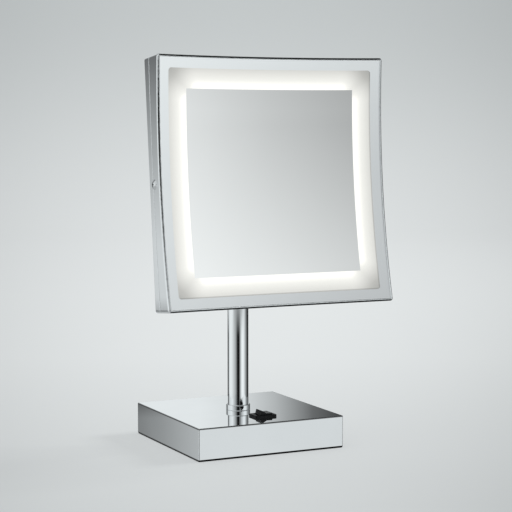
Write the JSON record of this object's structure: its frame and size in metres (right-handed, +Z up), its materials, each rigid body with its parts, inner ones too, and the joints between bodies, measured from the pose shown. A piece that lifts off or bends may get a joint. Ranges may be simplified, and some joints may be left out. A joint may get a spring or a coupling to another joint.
{
  "type": "extendable shaving mirror",
  "caption": "Free-standing lit shaving mirror: square dished chrome head that tilts and swivels on a telescopic stem and a square weighted base.",
  "frame": {"origin": "centre of the base's underside, on the stem's axis", "axes": "+Z up along the stem, the mirror looks along -Y, +X to the mirror's side with the rocker switch"},
  "size_m": [0.2198, 0.167, 0.3477],
  "materials": {
    "chrome": "mirror polished",
    "chromed_fasteners": "polished",
    "plated_steel": "zinc plated",
    "cast_ballast": "rough cast, black",
    "brass_fittings": "turned",
    "foot_rubber": "matt",
    "seal_rubber": "matt foam",
    "black_gloss": "glossy black",
    "black_plastic": "fine matt black",
    "lead_sheath": "soft black",
    "slide_plastic": "natural acetal",
    "mirror_silver": "silvered glass with a frosted square band",
    "opal_plastic": "opal",
    "white_plastic": "matt white",
    "board_laminate": "white solder resist",
    "light_chips": "phosphor",
    "driver_parts": "moulded black"
  },
  "bodies": {
    "base": {"base_cover": "chrome", "ballast_block": "cast_ballast", "bottom_plate": "plated_steel", "bottom_screws": "plated_steel", "foot_pad": "foot_rubber", "dc_jack": "black_plastic", "jack_pin": "brass_fittings", "jack_nut": "brass_fittings", "jack_lead": "lead_sheath", "switch_lead": "lead_sheath", "switch_housing": "black_plastic", "switch_terminals": "brass_fittings", "stem_foot": "chrome", "stem_nipple": "brass_fittings", "nipple_washer": "plated_steel", "nipple_nut": "brass_fittings", "stem_tube": "chrome", "guide_bush": "slide_plastic", "clamp_collar": "chrome", "clamp_pad": "slide_plastic", "clamp_screw": "chrome", "stem_lead": "lead_sheath"},
    "rocker": {"switch_rocker": "black_gloss"},
    "mast": {"mast_tube": "chrome", "mast_piston": "slide_plastic", "mast_plug": "chrome", "swivel_washer": "plated_steel", "spindle_washer": "plated_steel", "spindle_nut": "plated_steel"},
    "swivel": {"swivel_body": "chrome", "swivel_cap": "chrome", "arm_lead": "lead_sheath", "hinge_lead": "lead_sheath"},
    "head": {"rear_housing": "chrome", "front_frame": "chrome", "mirror_glass": "mirror_silver", "glass_gasket": "seal_rubber", "light_diffuser": "opal_plastic", "reflector_tray": "white_plastic", "led_board_right": "board_laminate", "led_board_bottom": "board_laminate", "led_board_left": "board_laminate", "led_board_top": "board_laminate", "led_chips": "light_chips", "head_lead": "lead_sheath", "driver_board": "board_laminate", "driver_components": "driver_parts", "board_standoffs": "white_plastic", "support_plate": "plated_steel", "mirror_pads": "seal_rubber", "side_blocks": "plated_steel", "side_screws": "chromed_fasteners", "tilt_bracket": "chrome", "bracket_screws": "chromed_fasteners", "tilt_bolt": "chromed_fasteners", "tilt_nut": "chromed_fasteners", "tilt_washers": "plated_steel"}
  },
  "joints": [
    {"name": "height_slide", "type": "slide", "parent": "base", "child": "mast", "axis": [0, 0, 1], "range_m": [0, 0.08], "deforming": ["stem_lead"]},
    {"name": "head_swivel", "type": "hinge", "parent": "mast", "child": "swivel", "pos_m": [0, 0, 0.2355], "axis": [0, 0, 1], "range_deg": [-90, 90]},
    {"name": "head_tilt", "type": "hinge", "parent": "swivel", "child": "head", "pos_m": [0, -0.035, 0.2355], "axis": [-1, 0, 0], "range_deg": [-20, 29], "deforming": ["hinge_lead"]},
    {"name": "switch_rock", "type": "hinge", "parent": "base", "child": "rocker", "pos_m": [0.005, -0.041, 0.027], "axis": [0, -1, 0], "range_deg": [0, 28]}
  ]
}
